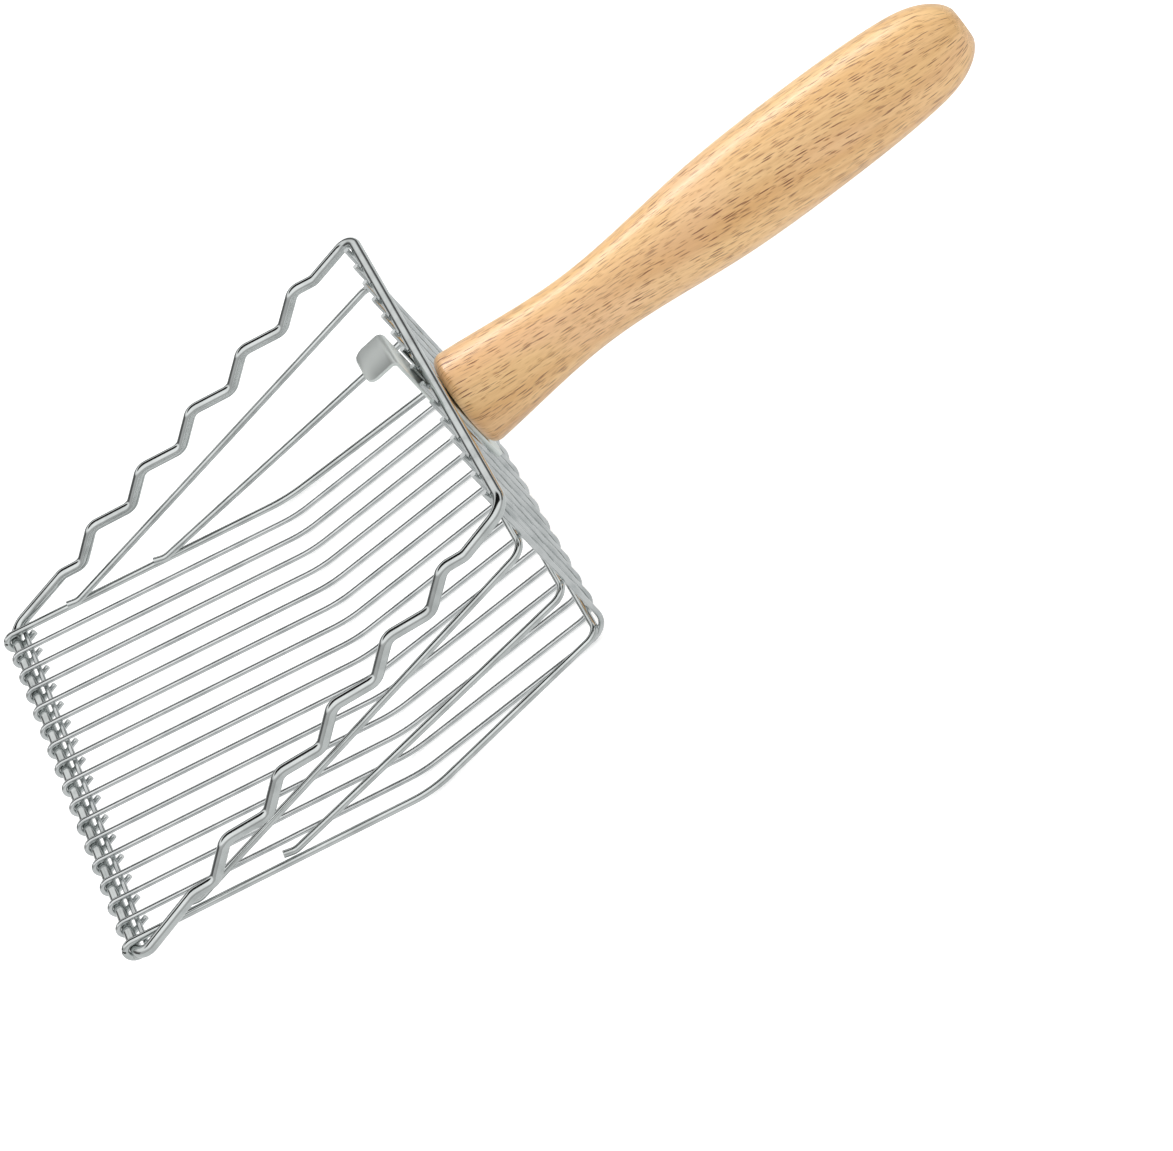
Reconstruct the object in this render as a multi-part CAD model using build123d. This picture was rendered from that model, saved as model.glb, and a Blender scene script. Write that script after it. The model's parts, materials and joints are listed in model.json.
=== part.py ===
"""Wire sifting scoop for sand, with a turned beech handle.

Frame: +X towards the scoop's mouth, +Y to its left, +Z up. The rear floor is level.
The origin is the centre of the bounding box in X and Y, at the height of its lowest point.
Profiles are laid out with the wall wires at x = 0 and the rear floor wires at z = 0,
and every piece is moved into the frame by PLACE as it is written.
"""

import math
import os

from build123d import *

# ---- wire sizes (diameters) and the clearance that stands in for a weld ----
RIM_D = 3.2
HOOP_D = 2.0
SIEVE_D = 1.5
TOUCH = 0.05

# ---- basket ----
WIRE_COUNT = 15
PITCH = 8.4
REAR_FLOOR = 60.0
FRONT_FLOOR = 83.5
FRONT_RISE = 15.0          # degrees
WALL_H = 56.0              # floor wires to the centre of the top bar
WIRE_ABOVE_BAR = 1.9
WALL_BEND_R = 6.0
CREASE_R = 35.0
FLOOR_HALF = PITCH * (WIRE_COUNT + 1) / 2   # to the outermost floor wires

# ---- rim ----
RIM_HALF_BACK = FLOOR_HALF - 2.0
RIM_HALF_FRONT = FLOOR_HALF + 4.6
RIM_CORNER_R = 5.0
WAVES = 5                  # they fill each side rail between its two straight ends
WAVE_RISE = 2.7            # vertex height of the zigzag before its bends are rounded
WAVE_BEND_R = 4.0
FRONT_STRAIGHT = 22.5
BACK_STRAIGHT = 15.8

# ---- hoops ----
HOOP_UPPER_Z = WALL_H - 15.0
HOOP_MIDDLE_Z = WALL_H * 0.375
HOOP_UPPER_REACH = 63.5    # along the front floor, from the crease
HOOP_MIDDLE_REACH = 37.0
HOOP_CORNER_R = 4.0
HOOP_OVERRUN = 3.0
LOWER_HALF = FLOOR_HALF - 5.7

# ---- front edge ----
CROSS_BACK = 3.1           # cross wire behind the front bar
CROSS_OVERHANG = 1.2
TAIL = 4.8

# ---- hook strip ----
HOOK_W = 14.0
HOOK_T = 1.0
HOOK_ABOVE_BAR = 11.0
HOOK_TAB = 8.8
HOOK_DROOP = 5.0           # degrees
HOOK_BEND_R = 1.4
HOOK_CORNER_R = 3.0
HOOK_FOOT_ABOVE_HOOP = 0.4

# ---- handle plate, stud and handle ----
PLATE_W = 14.0
PLATE_T = 1.4
PLATE_FOOT_Z = 20.5
PLATE_FOOT_R = 6.0
HANDLE_BELOW_BAR = 1.7     # from the top bar's underside to the turned base
HANDLE_DROOP = 1.5         # degrees below level
HANDLE_L = 159.0           # from the plate to the tip
HANDLE_GAP = 0.6           # between the plate and the turned base
BASE_D = 27.0
NECK_D = 20.8
GRIP_D = 28.8
END_FLAT_D = 9.6           # the sawn and sanded flat on the tip
STUD_D = 6.0
STUD_HEAD_D = 11.0
STUD_HEAD_T = 2.0
STUD_L = 38.0
STUD_BORE_CLEAR = 0.1

RIM_R, HOOP_R, SIEVE_R = RIM_D / 2, HOOP_D / 2, SIEVE_D / 2
RISE = math.radians(FRONT_RISE)
BAR_X = -(RIM_R + SIEVE_R + TOUCH)          # the wires lie inside the top bar
WRAP_R = RIM_R + SIEVE_R + TOUCH            # and wrap over the front bar
CROSS_DROP = SIEVE_D + TOUCH                # cross wire below the floor wires
HOOK_FOOT_Z = HOOP_UPPER_Z + HOOP_R + HOOK_FOOT_ABOVE_HOOP
HANDLE_Z = WALL_H - RIM_R - HANDLE_BELOW_BAR - BASE_D / 2


def front(s, y, n=0.0):
    """Point s along the front floor from the crease, n above its wires."""
    return Vector(REAR_FLOOR + s * math.cos(RISE) - n * math.sin(RISE), y,
                  s * math.sin(RISE) + n * math.cos(RISE))


def rounded_path(points, radii, closed=False):
    """Straight runs through the points with an arc of the given radius at each bend."""
    count = len(points)
    edges, ends = [], []
    for i, (p, r) in enumerate(zip(points, radii)):
        if not closed and i in (0, count - 1):
            ends.append((p, p))
            continue
        back = (points[i - 1] - p).normalized()
        ahead = (points[(i + 1) % count] - p).normalized()
        half = math.radians(back.get_angle(ahead)) / 2
        reach = r / math.tan(half)
        bisector = (back + ahead).normalized()
        a, b = p + back * reach, p + ahead * reach
        mid = p + bisector * (r / math.sin(half) - r)
        edges.append(ThreePointArc(a, mid, b))
        ends.append((a, b))
    for i in range(count if closed else count - 1):
        edges.append(Line(ends[i][1], ends[(i + 1) % count][0]))
    return Wire(edges)


def round_bar(path, radius):
    """A round wire swept along a path, with square cut ends on an open path."""
    start = Plane(origin=path @ 0, z_dir=path % 0)
    return sweep(start * Circle(radius), path=path, transition=Transition.RIGHT)


def rim():
    """One closed loop: front bar, two waved side rails and the top back bar."""
    nose = front(FRONT_FLOOR, 0, -WRAP_R)
    loop, radii = [], []
    for side in (1, -1):
        tip = Vector(nose.X, side * RIM_HALF_FRONT, nose.Z)
        top = Vector(BAR_X, side * RIM_HALF_BACK, WALL_H)
        along = (top - tip).normalized()
        up = along.cross(Vector(0, side, 0)).normalized()
        up = up if up.Z > 0 else up * -1
        wave = ((top - tip).length - FRONT_STRAIGHT - BACK_STRAIGHT) / WAVES
        run = [tip + along * FRONT_STRAIGHT]
        for k in range(2 * WAVES):
            step = FRONT_STRAIGHT + wave * (0.25 + 0.5 * k)
            run.append(tip + along * step + up * (WAVE_RISE if k % 2 else -WAVE_RISE))
        run.append(tip + along * (FRONT_STRAIGHT + wave * WAVES))
        pts = [tip] + run + [top]
        rad = [RIM_CORNER_R] + [WAVE_BEND_R] * len(run) + [RIM_CORNER_R]
        if side < 0:
            pts, rad = pts[::-1], rad[::-1]
        loop += pts
        radii += rad
    return round_bar(rounded_path(loop, radii, closed=True), RIM_R)


def wrapped(radius, y, first, radii):
    """A wire whose front end folds round the front bar, its tail under the cross wire."""
    lift = radius - SIEVE_R
    wrap = RIM_R + radius + TOUCH
    top = front(FRONT_FLOOR, y, lift)
    centre = front(FRONT_FLOOR, y, -WRAP_R)
    # the tail leaves the bar on the line that also passes just under the cross wire
    above = WRAP_R - CROSS_DROP
    gap = SIEVE_R + radius + TOUCH
    lean = math.asin((wrap - gap) / math.hypot(CROSS_BACK, above))
    turn = math.pi + lean + math.atan2(above, CROSS_BACK)
    u, n = front(1, 0) - front(0, 0), front(0, 0, 1) - front(0, 0)

    def around(angle):
        return centre + (n * math.cos(angle) + u * math.sin(angle)) * wrap

    last = around(turn)
    heading = u * math.cos(turn) - n * math.sin(turn)
    body = rounded_path(first + [top], radii + [0])
    return Wire(body.edges() + [
        ThreePointArc(top, around(turn / 2), last),
        Line(last, last + heading * TAIL)])


def sieve_wire(y):
    first = [Vector(0, y, WALL_H + WIRE_ABOVE_BAR), Vector(0, y, 0), front(0, y)]
    return round_bar(wrapped(SIEVE_R, y, first, [0, WALL_BEND_R, CREASE_R]), SIEVE_R)


def side_half(z):
    """Half width of the basket's side at a height on the wall."""
    return LOWER_HALF + (RIM_HALF_BACK - LOWER_HALF) * z / WALL_H


def hoop(z, reach):
    """Crosses the inside of the wall and runs forward to the floor's outer wires."""
    x = SIEVE_R + HOOP_R + TOUCH
    rest = HOOP_D + TOUCH
    points = []
    for side in (1, -1):
        corner = Vector(x, side * side_half(z), z)
        end = front(reach, side * (FLOOR_HALF - rest * 0.7), HOOP_R - SIEVE_R + rest * 0.75)
        run = end + (end - corner).normalized() * HOOP_OVERRUN
        run = Vector(run.X, run.Y, run.Z + HOOP_OVERRUN * math.tan(2 * RISE))
        points += [run, end, corner] if side > 0 else [corner, end, run]
    radii = [0, HOOP_CORNER_R, HOOP_CORNER_R, HOOP_CORNER_R, HOOP_CORNER_R, 0]
    return round_bar(rounded_path(points, radii), HOOP_R)


def lower_hoop():
    """Crosses the wires' bottom bend; its arms are the outermost floor wires."""
    inset = (WALL_BEND_R - SIEVE_R - HOOP_R - TOUCH) * math.sqrt(0.5)
    corner = Vector(WALL_BEND_R - inset, LOWER_HALF, WALL_BEND_R - inset)
    lift = HOOP_R - SIEVE_R
    crease = Vector(REAR_FLOOR, FLOOR_HALF, lift)
    ahead = [corner, crease]
    arm = wrapped(HOOP_R, FLOOR_HALF, [Vector(corner.X, 0, corner.Z)] + ahead,
                  [0, HOOP_CORNER_R, CREASE_R])
    half = round_bar(arm, HOOP_R)
    return half + half.mirror(Plane.XZ)


def cross_wire():
    """Under the floor wires just behind the front bar, where the tails end."""
    ends = [front(FRONT_FLOOR - CROSS_BACK, side * (FLOOR_HALF + CROSS_OVERHANG), -CROSS_DROP)
            for side in (1, -1)]
    return round_bar(Wire([Line(*ends)]), SIEVE_R)


def hook_strip():
    """Welded up the inside of the wall; its top folds forward into a rounded tab."""
    x0 = SIEVE_R + TOUCH
    ridge = WALL_H + HOOK_ABOVE_BAR
    droop = math.radians(HOOK_DROOP)
    out = Vector(math.cos(droop), 0, -math.sin(droop))
    centre = [Vector(x0 + HOOK_T / 2, 0, HOOK_FOOT_Z), Vector(x0 + HOOK_T / 2, 0, ridge),
              Vector(x0 + HOOK_T / 2, 0, ridge) + out * HOOK_TAB]
    path = rounded_path(centre, [0, HOOK_BEND_R, 0])
    strip = sweep(Plane(origin=centre[0], x_dir=(1, 0, 0), z_dir=(0, 0, 1))
                  * Rectangle(HOOK_T, HOOK_W), path=path)
    tip = [e for e in strip.edges().filter_by(GeomType.LINE)
           if abs(e.length - HOOK_T) < 0.01 and (e @ 0.5).X > x0 + HOOK_TAB - 1]
    foot = [e for e in strip.edges().filter_by(GeomType.LINE)
            if abs(e.length - HOOK_T) < 0.01 and (e @ 0.5).Z < HOOK_FOOT_Z + 0.1]
    return fillet(tip + foot, HOOK_CORNER_R)


def handle_plate():
    """A strip with a rounded foot, flat on the outside of the wall below the top bar."""
    top = WALL_H - RIM_R - 2 * TOUCH
    face = Plane(origin=(-(SIEVE_R + TOUCH), 0, (top + PLATE_FOOT_Z) / 2),
                 x_dir=(0, 1, 0), z_dir=(-1, 0, 0))
    outline = Rectangle(PLATE_W, top - PLATE_FOOT_Z)
    low = [v for v in outline.vertices() if v.Y * face.y_dir.Z < 0]
    return extrude(face * fillet(low, PLATE_FOOT_R), PLATE_T)


def along_handle():
    """Plane at the handle's seat on the plate, +Z out along the handle."""
    droop = math.radians(HANDLE_DROOP)
    return Plane(origin=(-(SIEVE_R + TOUCH + PLATE_T), 0, HANDLE_Z), x_dir=(0, 1, 0),
                 z_dir=(-math.cos(droop), 0, -math.sin(droop)))


def handle_stud():
    """Headed stud welded to the plate and driven into the handle."""
    head = Cylinder(STUD_HEAD_D / 2, STUD_HEAD_T, align=(Align.CENTER, Align.CENTER, Align.MIN))
    shank = Pos(0, 0, STUD_HEAD_T) * Cylinder(
        STUD_D / 2, STUD_L - STUD_HEAD_T, align=(Align.CENTER, Align.CENTER, Align.MIN))
    return along_handle() * Pos(0, 0, 2 * STUD_BORE_CLEAR) * (head + shank)


def handle_grip():
    """Turned handle: rounded base, slim neck, full grip and a blunt domed end."""
    base, neck, grip = BASE_D / 2, NECK_D / 2, GRIP_D / 2
    round_over = 3.0
    side = Spline(
        (base, HANDLE_GAP + round_over), (neck, HANDLE_L * 0.25), (grip * 0.94, HANDLE_L * 0.5),
        (grip, HANDLE_L * 0.7), (grip * 0.93, HANDLE_L * 0.88), (grip * 0.71, HANDLE_L * 0.965),
        (END_FLAT_D / 2, HANDLE_L), tangents=[(-0.08, 1), (-0.93, 0.37)])
    end = Line((END_FLAT_D / 2, HANDLE_L), (0, HANDLE_L))
    shoulder = CenterArc((base - round_over, HANDLE_GAP + round_over), round_over, -90, 90)
    foot = Line((0, HANDLE_GAP), (base - round_over, HANDLE_GAP))
    profile = make_face([foot, shoulder, side, end, Line((0, HANDLE_L), (0, HANDLE_GAP))])
    body = revolve(Plane.XZ * profile, Axis.Z)
    bore = Cylinder(STUD_D / 2 + STUD_BORE_CLEAR, STUD_L + 2,
                    align=(Align.CENTER, Align.CENTER, Align.MIN))
    sink = Cylinder(STUD_HEAD_D / 2 + 0.3, STUD_HEAD_T + 0.3,
                    align=(Align.CENTER, Align.CENTER, Align.MIN))
    return along_handle() * (body - bore - sink)


def pieces():
    """Every node, in the order the scoop is built."""
    nodes = {"rim_wire": rim()}
    for i in range(WIRE_COUNT):
        y = PITCH * ((WIRE_COUNT - 1) / 2 - i)
        nodes[f"sieve_wire_{i + 1:02d}"] = sieve_wire(y)
    nodes["front_cross_wire"] = cross_wire()
    nodes["hoop_upper"] = hoop(HOOP_UPPER_Z, HOOP_UPPER_REACH)
    nodes["hoop_middle"] = hoop(HOOP_MIDDLE_Z, HOOP_MIDDLE_REACH)
    nodes["hoop_lower"] = lower_hoop()
    nodes["hook_strip"] = hook_strip()
    nodes["handle_plate"] = handle_plate()
    nodes["handle_stud"] = handle_stud()
    nodes["handle_grip"] = handle_grip()
    return nodes


nodes = pieces()
boxes = [shape.bounding_box() for shape in nodes.values()]
middle = (min(b.min.X for b in boxes) + max(b.max.X for b in boxes)) / 2
PLACE = Pos(-middle, 0, -min(b.min.Z for b in boxes))
os.makedirs("parts", exist_ok=True)
for name, shape in nodes.items():
    export_step(PLACE * shape, f"parts/{name}.step")
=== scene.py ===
"""Wire sifting scoop for sand with a turned beech handle.

Metres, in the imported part's frame: +X out of the scoop's mouth, +Y to its left, +Z up.
Lengths of the real pieces are written in millimetres and turned into metres by MM.
"""

import json
import math

import bmesh
import bpy
import numpy as np
from mathutils import Matrix, Vector

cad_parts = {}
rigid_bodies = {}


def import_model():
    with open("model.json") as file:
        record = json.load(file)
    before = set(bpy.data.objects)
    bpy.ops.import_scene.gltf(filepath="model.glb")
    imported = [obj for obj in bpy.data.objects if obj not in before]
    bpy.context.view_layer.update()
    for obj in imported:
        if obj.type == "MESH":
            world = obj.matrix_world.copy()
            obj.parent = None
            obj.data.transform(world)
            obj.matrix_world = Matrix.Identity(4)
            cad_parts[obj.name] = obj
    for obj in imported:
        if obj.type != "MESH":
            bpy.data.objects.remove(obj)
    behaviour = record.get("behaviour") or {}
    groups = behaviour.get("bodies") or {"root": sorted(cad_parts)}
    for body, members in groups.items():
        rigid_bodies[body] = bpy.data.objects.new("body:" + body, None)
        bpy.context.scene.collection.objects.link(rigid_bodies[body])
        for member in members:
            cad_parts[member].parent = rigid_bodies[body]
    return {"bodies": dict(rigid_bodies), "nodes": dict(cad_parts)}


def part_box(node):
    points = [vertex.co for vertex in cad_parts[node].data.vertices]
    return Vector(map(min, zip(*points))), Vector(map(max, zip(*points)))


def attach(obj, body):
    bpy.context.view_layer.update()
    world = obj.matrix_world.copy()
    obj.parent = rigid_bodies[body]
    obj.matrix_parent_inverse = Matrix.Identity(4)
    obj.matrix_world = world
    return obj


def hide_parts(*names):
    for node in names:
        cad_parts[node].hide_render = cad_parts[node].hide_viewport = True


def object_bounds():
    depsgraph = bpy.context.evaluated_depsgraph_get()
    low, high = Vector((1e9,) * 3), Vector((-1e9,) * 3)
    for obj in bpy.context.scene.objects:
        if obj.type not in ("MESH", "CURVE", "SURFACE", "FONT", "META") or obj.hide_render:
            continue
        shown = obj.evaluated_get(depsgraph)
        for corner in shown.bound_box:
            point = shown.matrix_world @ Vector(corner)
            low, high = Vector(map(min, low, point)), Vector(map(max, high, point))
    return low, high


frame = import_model()
packed = set(frame["nodes"].values()) | set(frame["bodies"].values())
for start_up in set(bpy.data.objects) - packed:
    bpy.data.objects.remove(start_up)
cad_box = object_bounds()
scene = bpy.context.scene
MM = 0.001


# ======== Camera ========
# A long lens above the scoop's left rear corner, looking down across the basket at its
# right front corner. It is rolled so that the handle points up and to the right.
def look_through(name, centre, azimuth, elevation, roll, distance, lens):
    """A camera at a distance from a point, by the heading, pitch and roll of its view."""
    az, el, turn = (math.radians(v) for v in (azimuth, elevation, roll))
    ahead = Vector((math.cos(el) * math.cos(az), math.cos(el) * math.sin(az), math.sin(el)))
    level = ahead.cross(Vector((0, 0, 1))).normalized()
    upright = level.cross(ahead)
    right = level * math.cos(turn) - upright * math.sin(turn)
    up = upright * math.cos(turn) + level * math.sin(turn)
    data = bpy.data.cameras.new(name)
    data.lens, data.sensor_width = lens, 36.0
    data.clip_start, data.clip_end = 0.05, 50.0
    camera = bpy.data.objects.new(name, data)
    axes = Matrix((right, up, -ahead)).transposed()
    camera.matrix_world = Matrix.Translation(centre - ahead * distance) @ axes.to_4x4()
    scene.collection.objects.link(camera)
    return camera


scene.camera = look_through(
    "studio_camera", centre=Vector((10.03, 15.91, -17.34)) * MM, azimuth=-81.71,
    elevation=-39.50, roll=43.28, distance=1.0651, lens=125.44)


# ======== Heavy rim wire ========
# 3.2 mm steel wire bent into one closed loop and chrome plated: a straight front bar, two
# side rails with five waves each, and a straight top bar at the back. The other wires
# are spot welded to it. Each corner and each wave is a plain bend of the wire.
RIM_R = 1.6
SIEVE_R = 0.75
TOUCH = 0.05
PITCH = 8.4
COPIES = 15
FLOOR_HALF = PITCH * (COPIES + 1) / 2
REAR_FLOOR = 60.0
FRONT_FLOOR = 83.5
RISE = math.radians(15.0)
WALL_H = 56.0
WRAP = RIM_R + SIEVE_R + TOUCH
MOUTH_FLARE = 4.6
WALL_INSET = 2.0

# where the wall wires' plane and the rear floor wires' plane lie in the frame
FIRST_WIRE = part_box("sieve_wire_01")
WALL_X = FIRST_WIRE[0].x + SIEVE_R * MM
FLOOR_Z = FIRST_WIRE[0].z + SIEVE_R * MM


def place(x, y, z):
    """Millimetres from the foot of the wall, at its middle, to a point in the frame."""
    return Vector((WALL_X + x * MM, y * MM, FLOOR_Z + z * MM))


def front(s, y, above=0.0):
    """Point s mm up the front slope from its crease, and so far above its wires."""
    return place(REAR_FLOOR + s * math.cos(RISE) - above * math.sin(RISE), y,
                 s * math.sin(RISE) + above * math.cos(RISE))


def wire_tree():
    """Geometry Nodes: bend points become round wire, copied side by side at a pitch."""
    tree = bpy.data.node_groups.new("bent_wire", "GeometryNodeTree")
    face = tree.interface
    for name, kind, value in (
            ("Bend points", "NodeSocketGeometry", None),
            ("Wire diameter", "NodeSocketFloat", 0.003),
            ("Sides", "NodeSocketInt", 24),
            ("Steps per bend", "NodeSocketInt", 9),
            ("Copies", "NodeSocketInt", 1),
            ("Pitch", "NodeSocketFloat", 0.0084),
            ("Plating", "NodeSocketMaterial", None)):
        socket = face.new_socket(name, in_out="INPUT", socket_type=kind)
        if value is not None:
            socket.default_value = value
    face.new_socket("Wire", in_out="OUTPUT", socket_type="NodeSocketGeometry")
    nodes, links = tree.nodes, tree.links

    def add(kind, **settings):
        node = nodes.new(kind)
        for key, value in settings.items():
            setattr(node, key, value)
        return node

    def named(name, kind="FLOAT"):
        node = add("GeometryNodeInputNamedAttribute", data_type=kind)
        node.inputs["Name"].default_value = name
        return node.outputs["Attribute"]

    def keep(geometry, name, value, kind="FLOAT"):
        node = add("GeometryNodeStoreNamedAttribute", data_type=kind)
        node.inputs["Name"].default_value = name
        links.new(geometry, node.inputs["Geometry"])
        links.new(value, node.inputs["Value"])
        return node.outputs["Geometry"]

    given = add("NodeGroupInput").outputs
    line = add("GeometryNodeMeshToCurve")
    links.new(given["Bend points"], line.inputs["Mesh"])
    bends = add("GeometryNodeFilletCurve", mode="POLY")
    links.new(line.outputs["Curve"], bends.inputs["Curve"])
    links.new(given["Steps per bend"], bends.inputs["Count"])
    links.new(named("bend_radius"), bends.inputs["Radius"])
    swell = add("GeometryNodeSetCurveRadius")
    links.new(bends.outputs["Curve"], swell.inputs["Curve"])
    links.new(named("thickness"), swell.inputs["Radius"])
    run = keep(swell.outputs["Curve"], "run",
               add("GeometryNodeSplineParameter").outputs["Length"])
    half = add("ShaderNodeMath", operation="MULTIPLY")
    links.new(given["Wire diameter"], half.inputs[0])
    half.inputs[1].default_value = 0.5
    ring = add("GeometryNodeCurvePrimitiveCircle")
    links.new(given["Sides"], ring.inputs["Resolution"])
    links.new(half.outputs[0], ring.inputs["Radius"])
    section = keep(ring.outputs["Curve"], "section",
                   add("GeometryNodeInputPosition").outputs[0], "FLOAT_VECTOR")
    swept = add("GeometryNodeCurveToMesh")
    links.new(run, swept.inputs["Curve"])
    links.new(section, swept.inputs["Profile Curve"])
    swept.inputs["Fill Caps"].default_value = True
    # the place of each point on the wire as it was before bending, for its draw lines
    parts = add("ShaderNodeSeparateXYZ")
    links.new(named("section", "FLOAT_VECTOR"), parts.inputs[0])
    unbent = add("ShaderNodeCombineXYZ")
    links.new(parts.outputs["X"], unbent.inputs["X"])
    links.new(parts.outputs["Y"], unbent.inputs["Y"])
    links.new(named("run"), unbent.inputs["Z"])
    straight = keep(swept.outputs["Mesh"], "unbent", unbent.outputs[0], "FLOAT_VECTOR")
    smooth = add("GeometryNodeSetShadeSmooth")
    links.new(straight, smooth.inputs["Geometry"])

    step = add("ShaderNodeCombineXYZ")
    back = add("ShaderNodeMath", operation="MULTIPLY")
    links.new(given["Pitch"], back.inputs[0])
    back.inputs[1].default_value = -1.0
    links.new(back.outputs[0], step.inputs["Y"])
    row = add("GeometryNodeMeshLine")
    links.new(given["Copies"], row.inputs["Count"])
    links.new(step.outputs[0], row.inputs["Offset"])
    copies = add("GeometryNodeInstanceOnPoints")
    links.new(row.outputs["Mesh"], copies.inputs["Points"])
    links.new(smooth.outputs["Geometry"], copies.inputs["Instance"])
    real = add("GeometryNodeRealizeInstances")
    links.new(copies.outputs["Instances"], real.inputs["Geometry"])
    clad = add("GeometryNodeSetMaterial")
    links.new(real.outputs["Geometry"], clad.inputs["Geometry"])
    links.new(given["Plating"], clad.inputs["Material"])
    links.new(clad.outputs["Geometry"], add("NodeGroupOutput").inputs["Wire"])
    return tree


def grown(name, mesh, tree, **values):
    """A mesh run through a Geometry Nodes tree once, and kept as a plain mesh."""
    piece = bpy.data.objects.new(name, mesh)
    scene.collection.objects.link(piece)
    step = piece.modifiers.new(tree.name, "NODES")
    step.node_group = tree
    ids = {s.name: s.identifier for s in tree.interface.items_tree
           if s.in_out == "INPUT"}
    for key, value in values.items():
        step[ids[key.replace("_", " ")]] = value
    bpy.context.view_layer.update()
    depsgraph = bpy.context.evaluated_depsgraph_get()
    made = bpy.data.meshes.new_from_object(piece.evaluated_get(depsgraph))
    piece.modifiers.clear()
    piece.data = made
    made.name = name
    return piece


def wire(name, bends, radius, plating, closed=False, sides=24, steps=9, copies=1):
    """Round wire through (point, bend radius in mm) pairs; cut ends are broken a little."""
    points = [p for p, _ in bends]
    radii = [r for _, r in bends]
    thickness = [1.0] * len(points)
    if not closed:
        broken = 0.16
        dull = broken * radius * MM
        start = points[0] + (points[1] - points[0]).normalized() * dull
        end = points[-1] + (points[-2] - points[-1]).normalized() * dull
        points = [points[0], start] + points[1:-1] + [end, points[-1]]
        radii = [0.0] + radii + [0.0]
        thickness = [1.0 - broken] + thickness + [1.0 - broken]
    count = len(points)
    edges = [(i, i + 1) for i in range(count - 1)] + ([(count - 1, 0)] if closed else [])
    mesh = bpy.data.meshes.new(name + "_bends")
    mesh.from_pydata(points, edges, [])
    for label, values in (("bend_radius", [r * MM for r in radii]),
                          ("thickness", thickness)):
        mesh.attributes.new(label, "FLOAT", "POINT").data.foreach_set("value", values)
    return grown(name, mesh, WIRE_TREE, Wire_diameter=2 * radius * MM, Sides=sides,
                 Steps_per_bend=steps, Copies=copies, Pitch=PITCH * MM, Plating=plating)


def shade(red, green, blue):
    """A colour as seen on a screen, 0 to 255, as the linear colour that nodes take."""
    levels = (v / 255 for v in (red, green, blue))
    return tuple(v / 12.92 if v <= 0.04045 else ((v + 0.055) / 1.055) ** 2.4
                 for v in levels) + (1.0,)


def plating_group():
    """Shader group: how plating varies over bent wire, as colour, gloss and normal."""
    group = bpy.data.node_groups.new("plated_wire", "ShaderNodeTree")
    face = group.interface
    for name, kind, value in (
            ("Bright", "NodeSocketColor", (0.8, 0.8, 0.8, 1)),
            ("Dull", "NodeSocketColor", (0.6, 0.6, 0.6, 1)),
            ("Roughness", "NodeSocketFloat", 0.1),
            ("Haze", "NodeSocketFloat", 0.1),
            ("Draw lines", "NodeSocketFloat", 0.1)):
        face.new_socket(name, in_out="INPUT", socket_type=kind).default_value = value
    face.new_socket("Color", in_out="OUTPUT", socket_type="NodeSocketColor")
    face.new_socket("Roughness", in_out="OUTPUT", socket_type="NodeSocketFloat")
    face.new_socket("Normal", in_out="OUTPUT", socket_type="NodeSocketVector")
    nodes, links = group.nodes, group.links
    given, out = nodes.new("NodeGroupInput"), nodes.new("NodeGroupOutput")

    place_on = nodes.new("ShaderNodeTexCoord")
    cloud = nodes.new("ShaderNodeTexNoise")
    cloud.inputs["Scale"].default_value = 170.0
    cloud.inputs["Detail"].default_value = 3.0
    links.new(place_on.outputs["Object"], cloud.inputs["Vector"])
    patch = nodes.new("ShaderNodeMapRange")
    patch.inputs["From Min"].default_value = 0.42
    patch.inputs["From Max"].default_value = 0.68
    links.new(cloud.outputs["Fac"], patch.inputs["Value"])
    tint = nodes.new("ShaderNodeMix")
    tint.data_type = "RGBA"
    links.new(patch.outputs[0], tint.inputs["Factor"])
    links.new(given.outputs["Bright"], tint.inputs["A"])
    links.new(given.outputs["Dull"], tint.inputs["B"])
    links.new(tint.outputs["Result"], out.inputs["Color"])

    rough = nodes.new("ShaderNodeMath")
    rough.operation = "MULTIPLY_ADD"
    links.new(patch.outputs[0], rough.inputs[0])
    links.new(given.outputs["Haze"], rough.inputs[1])
    links.new(given.outputs["Roughness"], rough.inputs[2])
    links.new(rough.outputs[0], out.inputs["Roughness"])

    unbent = nodes.new("ShaderNodeAttribute")
    unbent.attribute_name = "unbent"
    drawn = nodes.new("ShaderNodeMapping")
    drawn.inputs["Scale"].default_value = (5200.0, 5200.0, 70.0)
    links.new(unbent.outputs["Vector"], drawn.inputs["Vector"])
    lines = nodes.new("ShaderNodeTexNoise")
    lines.inputs["Scale"].default_value = 1.0
    lines.inputs["Detail"].default_value = 2.0
    links.new(drawn.outputs[0], lines.inputs["Vector"])
    bump = nodes.new("ShaderNodeBump")
    bump.inputs["Distance"].default_value = 0.00003
    links.new(given.outputs["Draw lines"], bump.inputs["Strength"])
    links.new(lines.outputs["Fac"], bump.inputs["Height"])
    links.new(bump.outputs["Normal"], out.inputs["Normal"])
    return group


def plated(name, bright, dull, roughness, haze, draw_lines):
    """Chrome plate over drawn wire."""
    material = bpy.data.materials.new(name)
    material.use_nodes = True
    nodes, links = material.node_tree.nodes, material.node_tree.links
    metal = nodes["Principled BSDF"]
    metal.inputs["Metallic"].default_value = 1.0
    surface = nodes.new("ShaderNodeGroup")
    surface.node_tree = PLATING
    for key, value in (("Bright", bright), ("Dull", dull), ("Roughness", roughness),
                       ("Haze", haze), ("Draw lines", draw_lines)):
        surface.inputs[key].default_value = value
    links.new(surface.outputs["Color"], metal.inputs["Base Color"])
    links.new(surface.outputs["Roughness"], metal.inputs["Roughness"])
    links.new(surface.outputs["Normal"], metal.inputs["Normal"])
    return material


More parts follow.
